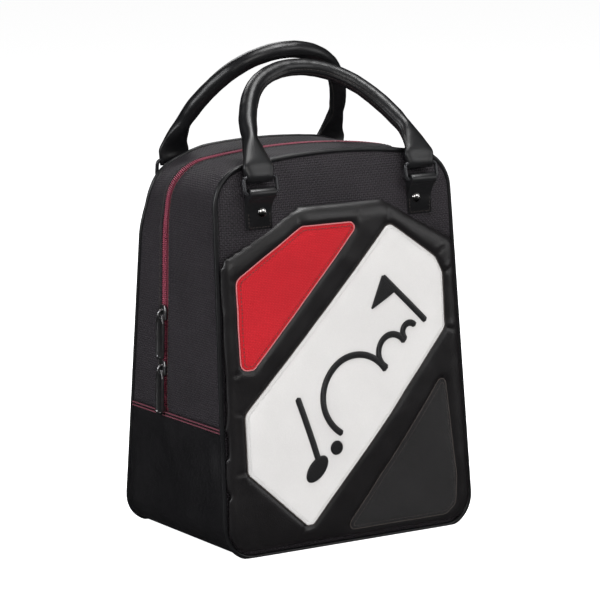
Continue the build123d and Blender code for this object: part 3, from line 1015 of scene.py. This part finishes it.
def handleForm(handle):
    drop = handle["start"] - handle["barHeight"]
    total, at = pathOf(archPoints(drop))
    lean, side = math.radians(handle["lean"]), handle["side"]
    rise = Vector((0, -side * math.sin(lean), math.cos(lean)))
    start = Vector((0, side * handle["bar"], handle["start"]))
    soft = handleLook["blend"]

    def bend(v):  # upright near the ring, then leaning over in the handle's own plane
        over = (v + math.sqrt(v * v + soft * soft)) / 2
        slope = (1 + v / math.sqrt(v * v + soft * soft)) / 2
        spot = start + Vector((0, 0, 1)) * (v - over) + rise * over
        ahead = (Vector((0, 0, 1)) * (1 - slope) + rise * slope).normalized()
        return spot, ahead

    def section(length, angle):
        flat = at(length)
        ahead = (at(min(length + 0.8, total)) - at(max(length - 0.8, 0))).normalized()
        spot, up = bend(flat.y)
        normal = Vector((1, 0, 0)).cross(up) * -side
        out = Vector((1, 0, 0)) * -ahead.y + up * ahead.x
        toEnd = min(length, total - length) - handleLook["roll"]
        full, neck, strap = handleLook["radius"], handleLook["neck"], handleLook["strapThin"]
        wide = handleLook["strapHalf"] + (full - handleLook["strapHalf"]) * ease(toEnd, 3, neck)
        wide += handleLook["flare"] * math.exp(-((toEnd - 9) / 5) ** 2)
        wide -= handleLook["pinch"] * math.exp(-((toEnd - neck + 3) / 7) ** 2)
        thin = strap + (full - strap) * ease(toEnd, 12, neck)
        thin += (handleLook["roll"] - strap) * (1 - ease(toEnd, 1, 8))
        if toEnd < 0:
            thin = math.sqrt(max(handleLook["roll"] ** 2 - toEnd ** 2, 0.04))
        squareness = 0.62 + 0.38 * ease(toEnd, 6, neck)
        cosine, sine = math.cos(angle), math.sin(angle)
        away = math.copysign(abs(cosine) ** squareness, cosine) * wide
        lift = math.copysign(abs(sine) ** squareness, sine) * thin
        crease = ripple(length, angle * 4, 7, 60) * 0.25 * ease(toEnd, 10, 40)
        seamAngle = math.pi + side * handleLook["seamTurn"]
        seam = handleLook["ridge"] * math.exp(-((angle - seamAngle) / 0.13) ** 2) * ease(toEnd, 8, 30)
        fullness = 1 + (crease + seam) / full
        place = Vector((flat.x, 0, 0)) + spot + (out * away + normal * lift) * fullness
        return place, out * cosine + normal * sine

    def spot(u, v):
        length = u * total
        return section(length, v * math.tau)[0], (length, v * 40)

    return total, spot, section


for name, handle in handles.items():
    total, spot, section = handleForm(handle)
    piece = gridForm(f"{name}Handle", 170, 48, spot)
    outwards(piece)
    nodes = [f"{name}_handle_sleeve", f"{name}_handle_core", f"{name}_handle_end_left", f"{name}_handle_end_right"]
    dress(piece, "handle", "handle_leather", nodes, f"{name}_handle")
    rows = []
    seamAngle = math.pi + handle["side"] * handleLook["seamTurn"]
    for angle in (seamAngle - 0.28, seamAngle + 0.28):
        pitch = handleLook["stitchPitch"]
        placed = [section(12 + k * pitch, angle) for k in range(int((total - 24) / pitch))]
        rows.append(([place for place, normal in placed], [normal for place, normal in placed]))
    stitchRow(f"{name}HandleStitches", rows, handleLook["stitch"], "stitch", "thread", f"{name}_handle")
print("handles")

# Tabs that carry the rings, with their rivets

tab = {
    "half": 12, "base": 262, "ringHeight": 291, "standoff": 14, "roll": 4.3, "ply": 2.4, "crown": 6.2, "bevel": 0.7,
    "stitchPitch": 2.8, "stitchInset": 2.2, "stitchBase": 263.5, "stitchLift": 8.75, "stitch": (2.2, 0.3),
}
rivet = {"x": 74, "height": 275, "lift": 8.4, "radius": 4.1, "dome": 2.1}
tabSides = {"left": -77, "right": 77}


def tabProfile():
    # side view, as distance off the bag's front and height: up the back ply, round the bar and down the front ply
    crown, roll, front = tab["crown"], tab["roll"], tab["crown"] + tab["ply"]
    points = [(crown, tab["base"]), (crown, 279), (crown + 0.8, 286)]
    points += [(tab["standoff"] + roll * math.cos(turn), tab["ringHeight"] + roll * math.sin(turn))
               for turn in [math.radians(degrees) for degrees in range(160, -81, -20)]]
    return points + [(front + 3.2, 283), (front + 0.6, 278.5), (front, 274), (front, tab["base"])]


def tabPiece(name, x, place):
    bm = bmesh.new()
    rim = [bm.verts.new(place(x - tab["half"], z, off) * toMetres) for off, z in tabProfile()]
    face = bm.faces.new(rim)
    grown = bmesh.ops.extrude_face_region(bm, geom=[face])
    moved = [item for item in grown["geom"] if isinstance(item, bmesh.types.BMVert)]
    bmesh.ops.translate(bm, verts=moved, vec=(2 * tab["half"] * toMetres, 0, 0))
    bmesh.ops.recalc_face_normals(bm, faces=bm.faces)
    caps = [face for face in bm.faces if len(face.verts) > 4]
    edges = list({edge for cap in caps for edge in cap.edges})
    bmesh.ops.bevel(bm, geom=edges, offset=tab["bevel"] * toMetres, segments=3, profile=0.5, affect="EDGES",
                    material=-1)
    bmesh.ops.triangulate(bm, faces=[face for face in bm.faces if len(face.verts) > 4])
    return makeObject(name, bm)


def rivetHead(bm, x, place):
    dome = bmesh.ops.create_uvsphere(bm, u_segments=28, v_segments=14, radius=1)["verts"]
    centre = place(x, rivet["height"], rivet["lift"]) * toMetres
    above = place(x, rivet["height"], rivet["lift"] + 1) * toMetres
    turn = Vector((0, 0, 1)).rotation_difference((above - centre).normalized()).to_matrix().to_4x4()
    turn.translation = centre
    half = Vector((rivet["radius"], rivet["radius"], rivet["dome"])) * toMetres
    bmesh.ops.transform(bm, matrix=turn @ Matrix.Diagonal((*half, 1)), verts=dome)


for name, place, body in (("front", onFront, "front_shell"), ("rear", onBack, "main_shell")):
    for hand, x in tabSides.items():
        piece = tabPiece(f"{name}{hand.capitalize()}Tab", x, place)
        dress(piece, "handle", "handle_leather", [f"{name}_tab_{hand}"], body)
        rows = []
        lift, low, inset = tab["stitchLift"], tab["stitchBase"], tab["half"] - tab["stitchInset"]
        for edge in (-inset, inset):
            rows.append([place(x + edge, low + k * 2.9, lift) for k in range(5)])
        rows.append([place(x - inset + k * tab["stitchPitch"], low, lift) for k in range(8)])
        outward = place(0, 0, 1) - place(0, 0, 0)
        rows = [(points, [outward] * len(points)) for points in rows]
        stitchRow(f"{name}{hand.capitalize()}TabStitches", rows, tab["stitch"], "stitch", "thread", body)
    bm = bmesh.new()
    for x in (-rivet["x"], rivet["x"]):
        rivetHead(bm, x, place)
    dress(makeObject(f"{name}RivetHeads", bm), "rivet", "rivet_metal", [f"{name}_rivets"], body)
print("tabs and rivets")

# Zip sliders and pulls

slider = {"heights": {"upper": 186, "lower": 140.5}, "low": 0.2, "high": 2.3, "bevel": 0.45, "bailRadius": 0.95}
pullLook = {"low": 2.95, "high": 4.9, "rim": 1.5, "slope": 0.35, "sunk": 0.55, "edge": 0.3}
sideSlope = (bag["baseHalf"] - bag["topHalf"]) / bag["shoulder"]
sideLean = math.atan(sideSlope)
sliderOut = Vector((-math.cos(sideLean), 0, math.sin(sideLean)))
sliderUp = Vector((math.sin(sideLean), 0, math.cos(sideLean)))
sliderAcross = Vector((0, -1, 0))


def onSlider(height, across, up, out):
    origin = Vector((sideSlope * height - bag["baseHalf"], bag["zipDepth"], height))
    return origin + sliderAcross * across + sliderUp * up + sliderOut * out


def platePiece(bm, height, loop, low, high):
    rim = [bm.verts.new(onSlider(height, point[0], point[1], low) * toMetres) for point in loop.closed[:-1]]
    face = bm.faces.new(rim)
    grown = bmesh.ops.extrude_face_region(bm, geom=[face])
    moved = [item for item in grown["geom"] if isinstance(item, bmesh.types.BMVert)]
    top = [item for item in grown["geom"] if isinstance(item, bmesh.types.BMFace)]
    bmesh.ops.translate(bm, verts=moved, vec=sliderOut * (high - low) * toMetres)
    return face, top[0]


def bevelRims(bm, faces, offset):
    edges = list({edge for face in faces for edge in face.edges})
    bmesh.ops.bevel(bm, geom=edges, offset=offset * toMetres, segments=3, profile=0.5, affect="EDGES", material=-1)


def tubeForm(points, radius, height):
    points = [Vector(point) for point in points]

    def spot(u, v):
        index = min(int(u * (len(points) - 1)), len(points) - 2)
        share = u * (len(points) - 1) - index
        centre = points[index].lerp(points[index + 1], share)
        ahead = (points[min(index + 1, len(points) - 1)] - points[max(index - 1, 0)]).normalized()
        side = Vector((1, 0, 0))
        other = ahead.cross(side).normalized()
        angle = v * math.tau
        local = centre + side * math.cos(angle) * radius + other * math.sin(angle) * radius
        return onSlider(height, local.x, local.y, local.z), (u, v)
    return spot


sliderLoop = roundLoop([(-5, -6), (-5, 2), (-3.2, 6.8), (3.2, 6.8), (5, 2), (5, -6)],
                       [1.6, 2.5, 1.6, 1.6, 2.5, 1.6], 4)
pullLoop = roundLoop([(-3.1, -1), (-5.3, -8), (-5.3, -38), (5.3, -38), (5.3, -8), (3.1, -1)],
                     [2, 4, 3.4, 3.4, 4, 2], 5)
bailPath = [(0, -5.2, 1.6), (0, -5, 4), (0, -4, 5.4), (0, -2, 5.9), (0, 0.5, 5.6), (0, 2.2, 4.4), (0, 2.8, 1.8)]
for level, height in slider["heights"].items():
    bm = bmesh.new()
    rims = platePiece(bm, height, sliderLoop, slider["low"], slider["high"])
    bmesh.ops.recalc_face_normals(bm, faces=bm.faces)
    bevelRims(bm, rims, slider["bevel"])
    body = makeObject(f"{level}Slider", bm)
    dress(body, "zipMetal", "zip_metal", [f"zip_slider_{level}"], f"slider_{level}")
    bail = gridForm(f"{level}SliderBail", 24, 12, tubeForm(bailPath, slider["bailRadius"], height))
    outwards(bail)
    dress(bail, "zipMetal", "zip_metal", (), f"slider_{level}")
    bm = bmesh.new()
    top = platePiece(bm, height, pullLoop, pullLook["low"], pullLook["high"])[1]
    bmesh.ops.recalc_face_normals(bm, faces=bm.faces)
    bmesh.ops.inset_region(bm, faces=[top], thickness=pullLook["rim"] * toMetres, depth=0)
    bmesh.ops.inset_region(bm, faces=[top], thickness=pullLook["slope"] * toMetres,
                           depth=-pullLook["sunk"] * toMetres)
    top.material_index = 1
    pull = makeObject(f"{level}Pull", bm)
    edge = pull.modifiers.new("edge", "BEVEL")
    edge.width, edge.segments, edge.limit_method = pullLook["edge"] * toMetres, 2, "ANGLE"
    applied(pull)
    dress(pull, "zipMetal", "zip_metal", [f"zip_pull_{level}"], f"pull_{level}")
    pull.data.materials.append(paints["ringMetal"])
print("sliders and pulls")

# CAD pieces that keep their shape

kept = {"ring_left": "ringMetal", "ring_right": "ringMetal", "board": "board", "stops": "zipMetal"}
for name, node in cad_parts.items():
    if node.hide_render:
        continue
    for ending, paint in kept.items():
        if name.endswith(ending):
            node.data.materials.clear()
            node.data.materials.append(paints[paint])
            for polygon in node.data.polygons:
                polygon.use_smooth = True

# Floor, light and camera

studio = {
    "floorSize": 40, "glow": 0.96, "target": (0, 0, 0.2),
    "lights": {  # place, size, power and colour
        "frontLight": ((-0.6, -2.2, 1.2), (1, 0.8), 11, (1, 0.99, 0.97)),
        "rightLight": ((1.2, -1.9, 1.2), (0.9, 0.9), 8.5, (1, 1, 1)),
        "lowLight": ((1.8, -1, 0.6), (0.8, 0.8), 4, (1, 1, 1)),
        "stripLight": ((-1.7, 0.1, 0.9), (0.35, 1.3), 16, (0.97, 0.98, 1)),
        "sideLight": ((-1.9, -0.6, 1.1), (0.25, 0.25), 9, (0.97, 0.98, 1)),
        "topLight": ((0.5, -0.6, 1.9), (0.4, 0.4), 10, (1, 1, 1)),
        "overLight": ((0.3, -0.3, 2), (1.5, 0.8), 26, (1, 1, 1)),
        "rimLight": ((0.4, 1.5, 1.5), (1.1, 0.6), 12, (1, 1, 1)),
    },
}
floorMesh = bmesh.new()
bmesh.ops.create_grid(floorMesh, x_segments=2, y_segments=2, size=studio["floorSize"] / 2)
floor = makeObject("studioFloor", floorMesh)
floorPaint = Paint("paleFloor", {"Base Color": (0.88, 0.88, 0.885, 1), "Roughness": 0.85, "Specular IOR Level": 0.1,
                                 "Emission Color": (1, 1, 1, 1), "Emission Strength": studio["glow"]})
floor.data.materials.append(floorPaint.material)
floor.visible_glossy = False

world = bpy.data.worlds.new("studio")
world.use_nodes = True
background = world.node_tree.nodes["Background"]
background.inputs["Color"].default_value = (1, 1, 1, 1)
bpy.context.scene.world = world
world.cycles_visibility.diffuse = world.cycles_visibility.glossy = False  # only a pale backdrop
bpy.context.scene.view_settings.view_transform = "Standard"


for name, (place, size, power, colour) in studio["lights"].items():
    light = bpy.data.lights.new(name, "AREA")
    light.shape, light.size, light.size_y, light.energy, light.color = "RECTANGLE", *size, power, colour
    lamp = bpy.data.objects.new(name, light)
    lamp.location = place
    lamp.rotation_euler = (Vector(studio["target"]) - Vector(place)).to_track_quat("-Z", "Y").to_euler()
    bpy.context.scene.collection.objects.link(lamp)

view = {"place": (-1.3364, -2.1005, 0.6199), "target": (0.00269, 0, 0.18773), "roll": -0.417, "lens": 183.43}
camera = bpy.data.objects.new("camera", bpy.data.cameras.new("camera"))
camera.data.lens, camera.data.sensor_width = view["lens"], 36
camera.data.clip_end = 200
forward = (Vector(view["target"]) - Vector(view["place"])).normalized()
right = forward.cross(Vector((0, 0, 1))).normalized()
up = right.cross(forward)
roll = math.radians(view["roll"])
turned = right * math.cos(roll) + up * math.sin(roll)
camera.matrix_world = Matrix.Translation(view["place"]) @ Matrix(
    (turned, up * math.cos(roll) - right * math.sin(roll), -forward)).transposed().to_4x4()
bpy.context.scene.collection.objects.link(camera)
bpy.context.scene.camera = camera
print("stage, lights and camera")
